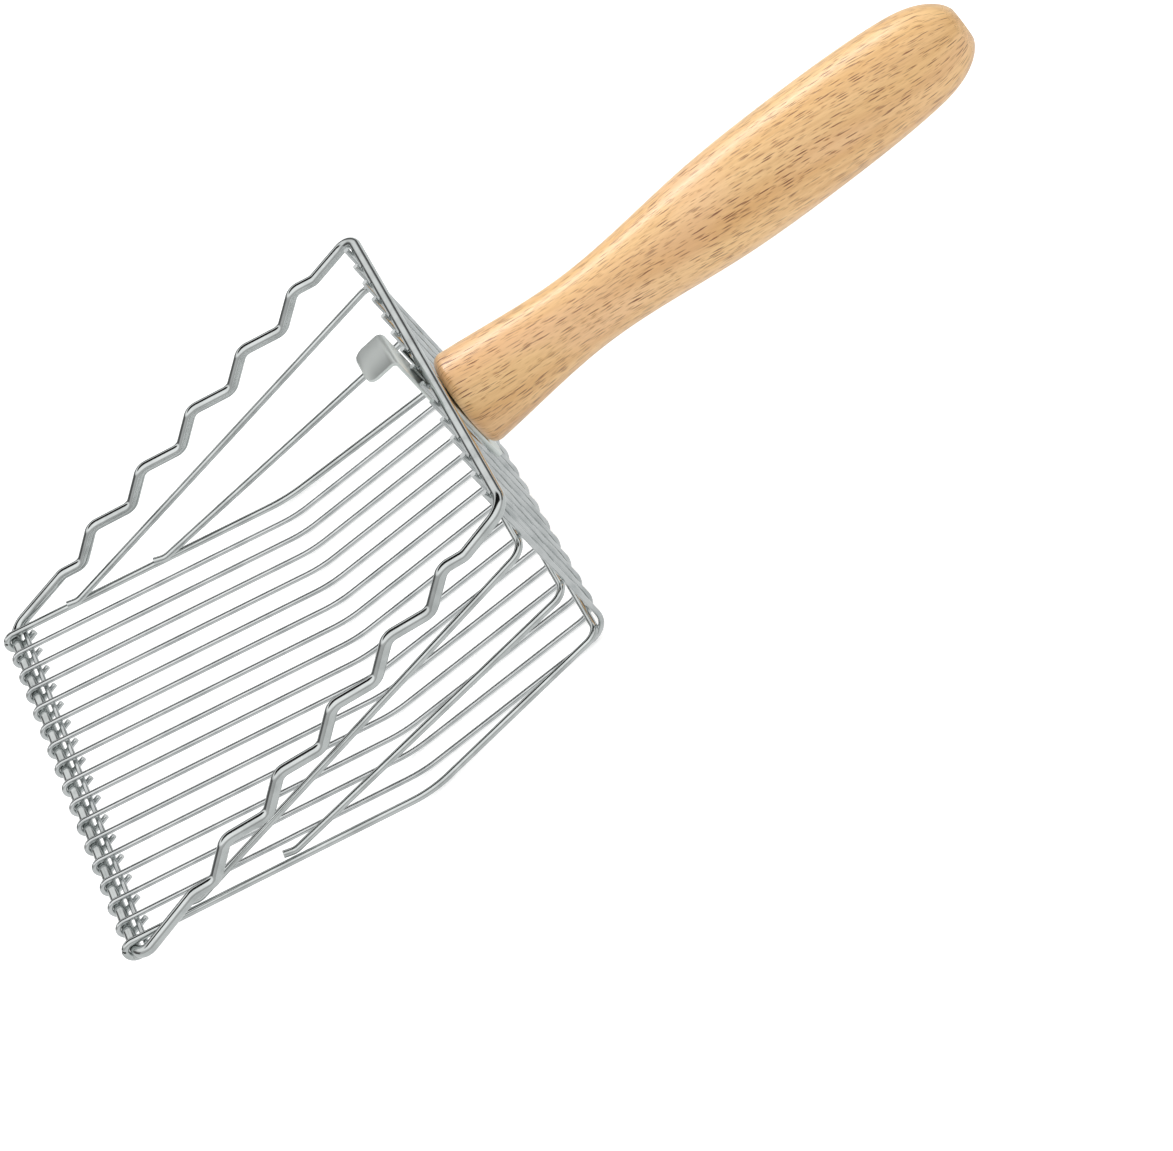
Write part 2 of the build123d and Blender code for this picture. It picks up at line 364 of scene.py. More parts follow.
def rim_bends():
    """The loop's corners and wave bends, from the front left corner all the way round."""
    waves, wave_rise, wave_bend, corner_bend = 5, 2.7, 4.0, 5.0
    front_straight, back_straight = 22.5, 15.8
    half_front, half_back = FLOOR_HALF + MOUTH_FLARE, FLOOR_HALF - WALL_INSET
    nose = front(FRONT_FLOOR, 0, -WRAP)
    loop = []
    for side in (1, -1):
        tip = Vector((nose.x, side * half_front * MM, nose.z))
        top = place(-WRAP, side * half_back, WALL_H)
        along = (top - tip).normalized()
        up = along.cross(Vector((0, side, 0))).normalized()
        up = up if up.z > 0 else -up
        wave = ((top - tip).length / MM - front_straight - back_straight) / waves
        rail = [(tip, corner_bend), (tip + along * front_straight * MM, wave_bend)]
        for k in range(2 * waves):
            step = front_straight + wave * (0.25 + 0.5 * k)
            lift = wave_rise if k % 2 else -wave_rise
            rail.append((tip + (along * step + up * lift) * MM, wave_bend))
        rail.append((tip + along * (front_straight + wave * waves) * MM, wave_bend))
        rail.append((top, corner_bend))
        loop += rail if side > 0 else rail[::-1]
    return loop


WIRE_TREE = wire_tree()
PLATING = plating_group()
heavy_plate = plated("chrome_heavy_wire", shade(203, 207, 206), shade(186, 190, 189),
                     roughness=0.08, haze=0.06, draw_lines=0.25)
rim = wire("rim_wire_loop", rim_bends(), RIM_R, heavy_plate, closed=True, sides=40,
           steps=14)
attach(rim, "root")
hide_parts("rim_wire")


# ======== Sieve wires ========
# Fifteen 1.5 mm wires, all bent alike on one former. Each starts just above the top bar,
# runs down the wall, along the level floor and up the front slope, then folds round the
# front bar and ends in a short tail under the slope.
WALL_BEND = 6.0
CREASE_BEND = 35.0
CROSS_BACK = 3.1
CROSS_DROP = 2 * SIEVE_R + TOUCH
TAIL = 4.8
ABOVE_BAR = 1.9


def fold(y, radius):
    """Bend points that take a wire round the front bar and out to the end of its tail."""
    round_bar = RIM_R + radius + TOUCH
    above = WRAP - CROSS_DROP
    gap = SIEVE_R + radius + TOUCH
    lean = math.asin((round_bar - gap) / math.hypot(CROSS_BACK, above))
    turn = math.pi + lean + math.atan2(above, CROSS_BACK)
    centre = front(FRONT_FLOOR, y, -WRAP)
    ahead = (front(1, 0) - front(0, 0)).normalized()
    out = (front(0, 0, 1) - front(0, 0)).normalized()
    bends, parts = [], 3
    for k in range(parts):
        angle = turn * (2 * k + 1) / (2 * parts)
        far = round_bar / math.cos(turn / (2 * parts))
        spoke = out * math.cos(angle) + ahead * math.sin(angle)
        bends.append((centre + spoke * far * MM, round_bar))
    off = centre + (out * math.cos(turn) + ahead * math.sin(turn)) * round_bar * MM
    heading = ahead * math.cos(turn) - out * math.sin(turn)
    return bends + [(off + heading * TAIL * MM, 0.0)]


fine_plate = plated("chrome_sieve_wire", shade(208, 211, 211), shade(188, 192, 192),
                    roughness=0.09, haze=0.08, draw_lines=0.3)
first_y = PITCH * (COPIES - 1) / 2
sieve_bends = [(place(0, first_y, WALL_H + ABOVE_BAR), 0.0),
               (place(0, first_y, 0), WALL_BEND), (front(0, first_y), CREASE_BEND)]
sieve = wire("sieve_wires", sieve_bends + fold(first_y, SIEVE_R), SIEVE_R, fine_plate,
             sides=20, steps=12, copies=COPIES)
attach(sieve, "root")
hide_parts(*(f"sieve_wire_{i + 1:02d}" for i in range(COPIES)))


# ======== Front cross wire ========
# A straight 1.5 mm wire under the slope, just behind the front bar. It holds the pitch
# of the sieve wires, and their tails are welded to its underside.
CROSS_HALF = FLOOR_HALF + 1.2
cross_ends = [(front(FRONT_FLOOR - CROSS_BACK, side * CROSS_HALF, -CROSS_DROP), 0.0)
              for side in (1, -1)]
cross = wire("cross_wire", cross_ends, SIEVE_R, fine_plate, sides=20)
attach(cross, "root")
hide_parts("front_cross_wire")


# ======== Hoops ========
# Three 2 mm wires bent to a U. The upper and middle ones cross the inside of the wall
# and run forward as side bars to the floor's outer wires. The lower one sits in the
# wires' bottom bend, and its arms are the outermost two floor wires.
HOOP_R = 1.0
UPPER_Z = WALL_H - 15.0
MIDDLE_Z = WALL_H * 0.375
UPPER_REACH = 63.5
MIDDLE_REACH = 37.0
HOOP_BEND = 4.0
OVERRUN = 3.0
LOWER_HALF = FLOOR_HALF - 5.7


def side_hoop(z, reach):
    """Bend points of a hoop that crosses the wall at a height."""
    half = LOWER_HALF + (FLOOR_HALF - WALL_INSET - LOWER_HALF) * z / WALL_H
    rest = 2 * HOOP_R + TOUCH
    bends = []
    for side in (1, -1):
        corner = place(SIEVE_R + HOOP_R + TOUCH, side * half, z)
        end = front(reach, side * (FLOOR_HALF - rest * 0.7),
                    HOOP_R - SIEVE_R + rest * 0.75)
        tip = end + (end - corner).normalized() * OVERRUN * MM
        tip.z += OVERRUN * math.tan(2 * RISE) * MM
        arm = [(tip, 0.0), (end, HOOP_BEND), (corner, HOOP_BEND)]
        bends += arm if side > 0 else arm[::-1]
    return bends


def lower_hoop():
    """Bend points of the hoop in the bottom bend, tail to tail."""
    inset = (WALL_BEND - SIEVE_R - HOOP_R - TOUCH) * math.sqrt(0.5)
    low = WALL_BEND - inset
    arm = [(place(low, LOWER_HALF, low), HOOP_BEND),
           (place(REAR_FLOOR, FLOOR_HALF, HOOP_R - SIEVE_R), CREASE_BEND)]
    arm += fold(FLOOR_HALF, HOOP_R)
    mirrored = [(Vector((p.x, -p.y, p.z)), r) for p, r in arm]
    return arm[::-1] + mirrored


hoop_plate = plated("chrome_hoop_wire", shade(204, 208, 207), shade(186, 190, 189),
                    roughness=0.08, haze=0.07, draw_lines=0.25)
for name, node, bends in (
        ("hoop_upper_bar", "hoop_upper", side_hoop(UPPER_Z, UPPER_REACH)),
        ("hoop_middle_bar", "hoop_middle", side_hoop(MIDDLE_Z, MIDDLE_REACH)),
        ("hoop_lower_bar", "hoop_lower", lower_hoop())):
    hoop = wire(name, bends, HOOP_R, hoop_plate, sides=28, steps=12)
    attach(hoop, "root")
    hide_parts(node)


# ======== Weld beads ========
# The wires are resistance welded: they sink a little way into each other and leave a
# small collar of metal round the contact, which the chrome then covers. Collars are
# made where sieve wires cross the bars, the hoops and the cross wire.
def bead_tree():
    """Geometry Nodes: a small flattened bead at each point, turned to its own axis."""
    tree = bpy.data.node_groups.new("weld_bead", "GeometryNodeTree")
    face = tree.interface
    for name, kind, value in (
            ("Welds", "NodeSocketGeometry", None),
            ("Bead radius", "NodeSocketFloat", 0.0006),
            ("Unevenness", "NodeSocketFloat", 0.3),
            ("Seed", "NodeSocketInt", 4),
            ("Plating", "NodeSocketMaterial", None)):
        socket = face.new_socket(name, in_out="INPUT", socket_type=kind)
        if value is not None:
            socket.default_value = value
    face.new_socket("Beads", in_out="OUTPUT", socket_type="NodeSocketGeometry")
    nodes, links = tree.nodes, tree.links
    given = nodes.new("NodeGroupInput").outputs
    ball = nodes.new("GeometryNodeMeshUVSphere")
    ball.inputs["Segments"].default_value = 14
    ball.inputs["Rings"].default_value = 8
    links.new(given["Bead radius"], ball.inputs["Radius"])
    smooth = nodes.new("GeometryNodeSetShadeSmooth")
    links.new(ball.outputs["Mesh"], smooth.inputs["Geometry"])
    low = nodes.new("ShaderNodeMath")
    low.operation = "SUBTRACT"
    low.inputs[0].default_value = 1.0
    links.new(given["Unevenness"], low.inputs[1])
    chance = nodes.new("FunctionNodeRandomValue")
    chance.data_type = "FLOAT"
    floats = [s for s in chance.inputs if s.type == "VALUE"]
    links.new(low.outputs[0], floats[0])
    floats[1].default_value = 1.0
    links.new(given["Seed"], chance.inputs["Seed"])
    flat = nodes.new("GeometryNodeInputNamedAttribute")
    flat.data_type = "FLOAT_VECTOR"
    flat.inputs["Name"].default_value = "spread"
    size = nodes.new("ShaderNodeVectorMath")
    size.operation = "SCALE"
    links.new(flat.outputs["Attribute"], size.inputs[0])
    links.new([s for s in chance.outputs if s.type == "VALUE"][0], size.inputs["Scale"])
    facing = nodes.new("GeometryNodeInputNamedAttribute")
    facing.data_type = "FLOAT_VECTOR"
    facing.inputs["Name"].default_value = "through"
    turn = nodes.new("FunctionNodeAlignRotationToVector")
    turn.axis = "Z"
    links.new(facing.outputs["Attribute"], turn.inputs["Vector"])
    beads = nodes.new("GeometryNodeInstanceOnPoints")
    links.new(given["Welds"], beads.inputs["Points"])
    links.new(smooth.outputs["Geometry"], beads.inputs["Instance"])
    links.new(turn.outputs["Rotation"], beads.inputs["Rotation"])
    links.new(size.outputs["Vector"], beads.inputs["Scale"])
    real = nodes.new("GeometryNodeRealizeInstances")
    links.new(beads.outputs["Instances"], real.inputs["Geometry"])
    clad = nodes.new("GeometryNodeSetMaterial")
    links.new(real.outputs["Geometry"], clad.inputs["Geometry"])
    links.new(given["Plating"], clad.inputs["Material"])
    links.new(clad.outputs["Geometry"], nodes.new("NodeGroupOutput").inputs["Beads"])
    return tree


def crossings():
    """(point, direction through the two wires) at each weld on the sieve wires."""
    through = Vector((1, 0, 0))
    slope = (front(0, 0, 1) - front(0, 0)).normalized()
    low = WALL_BEND - (WALL_BEND - SIEVE_R - TOUCH / 2) * math.sqrt(0.5)
    welds = []
    for i in range(COPIES):
        y = first_y - PITCH * i
        welds += [(place(-SIEVE_R, y, WALL_H), through),
                  (place(SIEVE_R, y, UPPER_Z), through),
                  (place(SIEVE_R, y, MIDDLE_Z), through),
                  (place(low, y, low), Vector((1, 0, 1)).normalized()),
                  (front(FRONT_FLOOR, y, -SIEVE_R), slope),
                  (front(FRONT_FLOOR - CROSS_BACK, y, -SIEVE_R), slope)]
    return welds


welds = crossings()
weld_mesh = bpy.data.meshes.new("weld_points")
weld_mesh.from_pydata([p for p, _ in welds], [], [])
for label, rows in (("through", [tuple(d) for _, d in welds]),
                    ("spread", [(1.0, 1.0, 0.5)] * len(welds))):
    column = weld_mesh.attributes.new(label, "FLOAT_VECTOR", "POINT")
    column.data.foreach_set("vector", [v for row in rows for v in row])
beads = grown("weld_beads", weld_mesh, bead_tree(), Bead_radius=0.5 * MM,
              Unevenness=0.35, Seed=11, Plating=fine_plate)
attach(beads, "root")


# ======== Hook strip ========
# A 14 mm strip of 1 mm sheet steel, spot welded up the inside of the wall. It stands
# above the top bar, folds forward and ends in a tab with rounded corners, by which the
# scoop hangs or rests on a bin's edge. The sheet is plated satin, not bright.
STRIP_W = 14.0


def strip(name, spine, thickness, corner, rounded_ends):
    """A sheet strip lofted along a spine in the XZ plane, with rounded corners at
    either end and edges broken by the tumbling barrel. Lengths in millimetres."""
    edge = 0.22
    length = [0.0]
    for a, b in zip(spine, spine[1:]):
        length.append(length[-1] + (b - a).length / MM)
    total = length[-1]

    def at(s):
        s = min(max(s, 0.0), total)
        i = max(k for k in range(len(spine) - 1) if length[k] <= s + 1e-9)
        t = (s - length[i]) / (length[i + 1] - length[i])
        return spine[i].lerp(spine[i + 1], t), (spine[i + 1] - spine[i]).normalized()

    curve = [corner * (1 - math.cos(math.radians(a))) for a in range(0, 91, 6)]
    stations = set(round(s, 4) for s in length)
    for near_start, rounded in zip((True, False), rounded_ends):
        if rounded:
            stations |= {round(c if near_start else total - c, 4) for c in curve}
    mesh = bmesh.new()
    rings = []
    order = sorted(stations)
    for k, s in enumerate(order):
        point, ahead = at(s)
        if 0 < k < len(order) - 1:
            before, after = at(s - 0.02)[1], at(s + 0.02)[1]
            ahead = (before + after).normalized()
        out = Vector((-ahead.z, 0, ahead.x))
        half = STRIP_W / 2
        for near_start, rounded in zip((True, False), rounded_ends):
            gap = max(s if near_start else total - s, 0.0)
            if rounded and gap < corner:
                half -= corner - math.sqrt(corner ** 2 - (corner - gap) ** 2)
        deep = thickness / 2
        ring = []
        for sx, sn in ((1, 1), (-1, 1), (-1, -1), (1, -1)):
            spread = (0, 45, 90) if sx * sn > 0 else (90, 45, 0)
            for angle in spread:
                a = math.radians(angle)
                y = sx * (half - edge + edge * math.cos(a))
                n = sn * (deep - edge + edge * math.sin(a))
                ring.append(mesh.verts.new(point + Vector((0, y * MM, 0)) + out * n * MM))
        rings.append(ring)
    for a, b in zip(rings, rings[1:]):
        for i in range(len(a)):
            j = (i + 1) % len(a)
            mesh.faces.new((a[i], a[j], b[j], b[i]))
    mesh.faces.new(rings[0])
    mesh.faces.new(rings[-1][::-1])
    bmesh.ops.recalc_face_normals(mesh, faces=mesh.faces)
    for face in mesh.faces:
        face.smooth = True
    data = bpy.data.meshes.new(name)
    mesh.to_mesh(data)
    mesh.free()
    data.set_sharp_from_angle(angle=math.radians(38))
    piece = bpy.data.objects.new(name, data)
    scene.collection.objects.link(piece)
    return piece


def sheet_group():
    """Shader group: satin plate on rolled sheet, with faint rolling lines and haze."""
    group = bpy.data.node_groups.new("plated_sheet", "ShaderNodeTree")
    face = group.interface
    for name, kind, value in (
            ("Bright", "NodeSocketColor", (0.8, 0.8, 0.8, 1)),
            ("Dull", "NodeSocketColor", (0.6, 0.6, 0.6, 1)),
            ("Roughness", "NodeSocketFloat", 0.2),
            ("Haze", "NodeSocketFloat", 0.1)):
        face.new_socket(name, in_out="INPUT", socket_type=kind).default_value = value
    face.new_socket("Color", in_out="OUTPUT", socket_type="NodeSocketColor")
    face.new_socket("Roughness", in_out="OUTPUT", socket_type="NodeSocketFloat")
    face.new_socket("Normal", in_out="OUTPUT", socket_type="NodeSocketVector")
    nodes, links = group.nodes, group.links
    given, out = nodes.new("NodeGroupInput"), nodes.new("NodeGroupOutput")
    coords = nodes.new("ShaderNodeTexCoord")
    cloud = nodes.new("ShaderNodeTexNoise")
    cloud.inputs["Scale"].default_value = 240.0
    cloud.inputs["Detail"].default_value = 4.0
    links.new(coords.outputs["Object"], cloud.inputs["Vector"])
    tint = nodes.new("ShaderNodeMix")
    tint.data_type = "RGBA"
    links.new(cloud.outputs["Fac"], tint.inputs["Factor"])
    links.new(given.outputs["Bright"], tint.inputs["A"])
    links.new(given.outputs["Dull"], tint.inputs["B"])
    links.new(tint.outputs["Result"], out.inputs["Color"])
    rolled = nodes.new("ShaderNodeMapping")
    rolled.inputs["Scale"].default_value = (90.0, 7000.0, 90.0)
    links.new(coords.outputs["Object"], rolled.inputs["Vector"])
    lines = nodes.new("ShaderNodeTexNoise")
    lines.inputs["Scale"].default_value = 1.0
    links.new(rolled.outputs[0], lines.inputs["Vector"])
    rough = nodes.new("ShaderNodeMath")
    rough.operation = "MULTIPLY_ADD"
    links.new(lines.outputs["Fac"], rough.inputs[0])
    links.new(given.outputs["Haze"], rough.inputs[1])
    links.new(given.outputs["Roughness"], rough.inputs[2])
    links.new(rough.outputs[0], out.inputs["Roughness"])
    bump = nodes.new("ShaderNodeBump")
    bump.inputs["Strength"].default_value = 0.2
    bump.inputs["Distance"].default_value = 0.00002
    links.new(lines.outputs["Fac"], bump.inputs["Height"])
    links.new(bump.outputs["Normal"], out.inputs["Normal"])
    return group


def sheet_metal(name, bright, dull, roughness, haze):
    """Plated sheet."""
    material = bpy.data.materials.new(name)
    material.use_nodes = True
    nodes, links = material.node_tree.nodes, material.node_tree.links
    metal = nodes["Principled BSDF"]
    metal.inputs["Metallic"].default_value = 1.0
    surface = nodes.new("ShaderNodeGroup")
    surface.node_tree = SHEET
    for key, value in (("Bright", bright), ("Dull", dull), ("Roughness", roughness),
                       ("Haze", haze)):
        surface.inputs[key].default_value = value
    links.new(surface.outputs["Color"], metal.inputs["Base Color"])
    links.new(surface.outputs["Roughness"], metal.inputs["Roughness"])
    links.new(surface.outputs["Normal"], metal.inputs["Normal"])
    return material


SHEET = sheet_group()
satin_plate = sheet_metal("satin_plated_sheet", shade(240, 245, 242), shade(232, 237, 234),
                          roughness=0.4, haze=0.1)
HOOK_T = 1.0
HOOK_RIDGE = WALL_H + 11.0
HOOK_TAB = 8.8
HOOK_FOOT = UPPER_Z + HOOP_R + 0.4
HOOK_BEND = 1.4
HOOK_CORNER = 3.0
droop = math.radians(5.0)
hook_x = SIEVE_R + TOUCH + HOOK_T / 2
swing = math.pi / 2 + droop
reach = HOOK_BEND * math.tan(swing / 2)
hook_spine = [place(hook_x, 0, HOOK_FOOT)]
steps = 14
for k in range(steps + 1):
    a = swing * k / steps
    hook_spine.append(place(hook_x + HOOK_BEND * (1 - math.cos(a)), 0,
                            HOOK_RIDGE - reach + HOOK_BEND * math.sin(a)))
hook_spine.append(place(hook_x + HOOK_TAB * math.cos(droop), 0,
                        HOOK_RIDGE - HOOK_TAB * math.sin(droop)))
hook = strip("hook_tab_strip", hook_spine, HOOK_T, HOOK_CORNER, (True, True))
hook.data.materials.append(satin_plate)
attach(hook, "root")
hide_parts("hook_strip")


# ======== Handle plate ========
# A 14 mm strip of 1.4 mm sheet on the outside of the wall, from just under the top bar
# to a round foot. It is welded across the middle wires and carries the handle.
PLATE_T = 1.4
PLATE_FOOT = 20.5
PLATE_FOOT_R = 6.0
plate_x = -(SIEVE_R + TOUCH + PLATE_T / 2)
plate_top = WALL_H - RIM_R - 2 * TOUCH
plate_spine = [place(plate_x, 0, PLATE_FOOT), place(plate_x, 0, plate_top)]
plate = strip("handle_back_plate", plate_spine, PLATE_T, PLATE_FOOT_R, (True, False))
plate.data.materials.append(satin_plate)
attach(plate, "root")
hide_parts("handle_plate")


# ======== Handle stud ========
# A turned steel stud with a flat head, welded to the plate and driven into the handle.
# Only the edge of its head can be glimpsed, in the gap between plate and handle.
stud_steel = sheet_metal("bare_turned_steel", shade(188, 189, 186), shade(160, 161, 158),
                         roughness=0.32, haze=0.12)
stud = frame["nodes"]["handle_stud"]
stud.data.materials.clear()
stud.data.materials.append(stud_steel)


# ======== Handle ========
# Beech turned on a copy lathe: a rounded base, a slim neck, a full grip and a blunt
# domed end, sanded and varnished. It is bored and counterbored for the stud. Beech is
# pale tan, with growth bands and short dark ray flecks that lie along the handle.
HANDLE_L = 159.0
HANDLE_GAP = 0.6
BELOW_BAR = 1.7
BASE_R, NECK_R, GRIP_R = 27.0 / 2, 20.8 / 2, 28.8 / 2
END_FLAT_R = 4.8
ROUND_OVER = 3.0
STUD_HOLE_R = 3.1
STUD_HOLE = 40.0
SINK_R = 5.8
SINK = 2.3
handle_droop = math.radians(1.5)
handle_z = WALL_H - RIM_R - BELOW_BAR - BASE_R
SEAT = place(-(SIEVE_R + TOUCH + PLATE_T), 0, handle_z)
OUTWARD = Vector((-math.cos(handle_droop), 0, -math.sin(handle_droop)))


def clamped_spline(knots, start_slope, end_slope, steps):
    """Points on the smooth curve through the knots that leaves and arrives as given."""
    knots = np.array(knots, float)
    t = np.concatenate(([0], np.cumsum(np.linalg.norm(np.diff(knots, axis=0), axis=1))))
    h, n = np.diff(t), len(t)
    matrix, right = np.zeros((n, n)), np.zeros((n, 2))
    matrix[0, 0] = matrix[-1, -1] = 1.0
    right[0], right[-1] = start_slope, end_slope
    for i in range(1, n - 1):
        matrix[i, i - 1:i + 2] = h[i], 2 * (h[i - 1] + h[i]), h[i - 1]
        right[i] = 3 * (h[i] * (knots[i] - knots[i - 1]) / h[i - 1]
                        + h[i - 1] * (knots[i + 1] - knots[i]) / h[i])
    slope = np.linalg.solve(matrix, right)
    points = []
    for s in np.linspace(0, t[-1], steps):
        i = min(int(np.searchsorted(t, s, side="right")) - 1, n - 2)
        u = (s - t[i]) / h[i]
        leaving = knots[i] * (1 + 2 * u) * (1 - u) ** 2 + slope[i] * h[i] * u * (1 - u) ** 2
        arriving = knots[i + 1] * u * u * (3 - 2 * u) + slope[i + 1] * h[i] * u * u * (u - 1)
        points.append(leaving + arriving)
    return [tuple(p) for p in points]


def handle_profile():
    """(radius, distance from the seat) from the bottom of the bore to the tip, in mm."""
    inner = [(0.0, STUD_HOLE + 2), (STUD_HOLE_R, STUD_HOLE), (STUD_HOLE_R, SINK),
             (SINK_R, SINK), (SINK_R, HANDLE_GAP)]
    shoulder = [(BASE_R - ROUND_OVER + ROUND_OVER * math.sin(a),
                 HANDLE_GAP + ROUND_OVER - ROUND_OVER * math.cos(a))
                for a in (math.radians(d) for d in range(0, 91, 9))]
    side = clamped_spline(
        [(BASE_R, HANDLE_GAP + ROUND_OVER), (NECK_R, HANDLE_L * 0.25),
         (GRIP_R * 0.94, HANDLE_L * 0.5), (GRIP_R, HANDLE_L * 0.7),
         (GRIP_R * 0.93, HANDLE_L * 0.88), (GRIP_R * 0.71, HANDLE_L * 0.965),
         (END_FLAT_R, HANDLE_L)], (-0.08, 1.0), (-0.93, 0.37), 150)
    return inner + shoulder + side[1:] + [(0.0, HANDLE_L)]


def turned(name, profile, seat, axis, around=112):
    """A closed solid of revolution about an axis from its seat. Its "grain" attribute
    is where each point would lie in a plain cylinder, so that the grain follows the
    side of the handle, spirals a little, and shows its ends on the tip."""
    cylinder_r, tip_r, spiral = 13.0, 8.0, -0.008
    side_way = Vector((0, 1, 0))
    other_way = axis.cross(side_way)
    mesh = bmesh.new()
    rings, grain = [], []
    for radius, along in profile:
        centre = seat + axis * along * MM
        if radius < 1e-6:
            rings.append([mesh.verts.new(centre)])
            grain.append((along * MM, 0.0, 0.0))
            continue
        angles = [math.tau * k / around for k in range(around)]
        rings.append([mesh.verts.new(
            centre + (side_way * math.cos(a) + other_way * math.sin(a)) * radius * MM)
            for a in angles])
        shell = cylinder_r * min(1.0, radius / tip_r) * MM
        grain += [(along * MM, shell * math.cos(a + spiral * along),
                   shell * math.sin(a + spiral * along)) for a in angles]
    for a, b in zip(rings, rings[1:]):
        for k in range(around):
            j = (k + 1) % around
            if len(a) == 1:
                mesh.faces.new((a[0], b[j], b[k]))
            elif len(b) == 1:
                mesh.faces.new((a[k], a[j], b[0]))
            else:
                mesh.faces.new((a[k], a[j], b[j], b[k]))
    bmesh.ops.recalc_face_normals(mesh, faces=mesh.faces)
    for face in mesh.faces:
        face.smooth = True
    data = bpy.data.meshes.new(name)
    mesh.to_mesh(data)
    mesh.free()
    data.set_sharp_from_angle(angle=math.radians(40))
    column = data.attributes.new("grain", "FLOAT_VECTOR", "POINT")
    column.data.foreach_set("vector", [v for row in grain for v in row])
    piece = bpy.data.objects.new(name, data)
    scene.collection.objects.link(piece)
    return piece


def beech():
    """Varnished beech, its grain along the handle."""
    material = bpy.data.materials.new("varnished_beech")
    material.use_nodes = True
    nodes, links = material.node_tree.nodes, material.node_tree.links
    wood = nodes["Principled BSDF"]

    def add(kind, settings=(), **inputs):
        node = nodes.new(kind)
        for key, value in dict(settings).items():
            setattr(node, key, value)
        for key, value in inputs.items():
            socket = node.inputs[key.replace("_", " ")]
            if isinstance(value, bpy.types.NodeSocket):
                links.new(value, socket)
            else:
                socket.default_value = value
        return node

    def stretched(source, along, across, shift=(0, 0, 0)):
        """Coordinates in which a pattern is so many mm long and wide."""
        node = add("ShaderNodeMapping", Vector=source,
                   Scale=(1 / (along * MM), 1 / (across * MM), 1 / (across * MM)),
                   Location=shift)
        return node.outputs[0]

    def level(source, low, high, to_low=0.0, to_high=1.0, smooth=False):
        node = add("ShaderNodeMapRange",
                   {"interpolation_type": "SMOOTHSTEP" if smooth else "LINEAR"},
                   Value=source, From_Min=low, From_Max=high, To_Min=to_low,
                   To_Max=to_high)
        return node.outputs[0]

    def noise(vector, detail=2.0, rough=0.5):
        return add("ShaderNodeTexNoise", Vector=vector, Scale=1.0, Detail=detail,
                   Roughness=rough).outputs["Fac"]

    def product(a, b):
        node = nodes.new("ShaderNodeMath")
        node.operation = "MULTIPLY"
        for socket, value in zip(node.inputs, (a, b)):
            if isinstance(value, bpy.types.NodeSocket):
                links.new(value, socket)
            else:
                socket.default_value = value
        return node.outputs[0]

    def mixed(factor, a, b):
        node = nodes.new("ShaderNodeMix")
        node.data_type = "RGBA"
        for key, value in (("Factor", factor), ("A", a), ("B", b)):
            socket = [s for s in node.inputs if s.name == key
                      and s.type == ("VALUE" if key == "Factor" else "RGBA")][0]
            if isinstance(value, bpy.types.NodeSocket):
                links.new(value, socket)
            else:
                socket.default_value = value
        return [s for s in node.outputs if s.type == "RGBA"][0]

    laid = add("ShaderNodeAttribute", {"attribute_name": "grain"}).outputs["Vector"]
    wander = add("ShaderNodeTexNoise", Vector=laid, Scale=22.0, Detail=2.0)
    drift = add("ShaderNodeVectorMath", {"operation": "MULTIPLY_ADD"})
    links.new(wander.outputs["Color"], drift.inputs[0])
    drift.inputs[1].default_value = (0.0, 0.0015, 0.0015)
    links.new(laid, drift.inputs[2])
    grain = drift.outputs[0]

    # broad growth bands, then streaks, then pores
    bands = noise(stretched(grain, 120, 7.5), detail=3.0)
    streaks = noise(stretched(grain, 30, 1.6, (5, 3, 1)), detail=4.0, rough=0.62)
    pores = noise(stretched(grain, 5.0, 0.35, (1, 7, 2)), detail=2.0, rough=0.6)
    body = mixed(level(bands, 0.36, 0.64), shade(236, 196, 138), shade(219, 171, 109))
    body = mixed(product(level(streaks, 0.45, 0.72), 0.55), body, shade(198, 146, 86))
    body = mixed(product(level(pores, 0.5, 0.75), 0.35), body, shade(186, 134, 76))
    blush = noise(stretched(grain, 45, 18, (9, 2, 4)), detail=1.0)
    body = mixed(product(level(blush, 0.5, 0.7, smooth=True), 0.4), body,
                 shade(232, 186, 146))

    # ray flecks, long and short, gathered where the clusters are dense
    clusters = level(noise(stretched(grain, 14, 4.5, (3, 1, 6)), detail=2.0), 0.36, 0.62,
                     smooth=True)

    def flecks(along, across, core, edge, shift):
        cells = add("ShaderNodeTexVoronoi", {"feature": "F1"},
                    Vector=stretched(grain, along, across, shift), Scale=1.0,
                    Randomness=1.0)
        mark = level(cells.outputs["Distance"], core, edge, 1.0, 0.0, smooth=True)
        pick = nodes.new("ShaderNodeSeparateColor")
        links.new(cells.outputs["Color"], pick.inputs[0])
        return product(mark, level(pick.outputs[0], 0.05, 0.55))

    long_flecks = product(flecks(6.0, 0.46, 0.20, 0.38, (2, 5, 8)),
                          level(clusters, 0.0, 1.0, 0.55, 1.0))
    short_flecks = flecks(3.6, 0.34, 0.15, 0.35, (7, 4, 3))
    body = mixed(product(short_flecks, 0.85), body, shade(152, 94, 38))
    body = mixed(long_flecks, body, shade(112, 56, 10))
    links.new(body, wood.inputs["Base Color"])

    links.new(level(streaks, 0.3, 0.8, 0.36, 0.5), wood.inputs["Roughness"])
    wood.inputs["Coat Weight"].default_value = 0.6
    wood.inputs["Coat Roughness"].default_value = 0.3
    wood.inputs["Coat IOR"].default_value = 1.5
    relief = nodes.new("ShaderNodeMath")
    relief.operation = "MULTIPLY_ADD"
    links.new(long_flecks, relief.inputs[0])
    relief.inputs[1].default_value = -1.0
    links.new(pores, relief.inputs[2])
    bump = add("ShaderNodeBump", Height=relief.outputs[0], Strength=0.35,
               Distance=0.00012)
    links.new(bump.outputs["Normal"], wood.inputs["Normal"])
    return material


handle = turned("turned_handle", handle_profile(), SEAT, OUTWARD)
handle.data.materials.append(beech())
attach(handle, "root")
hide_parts("handle_grip")


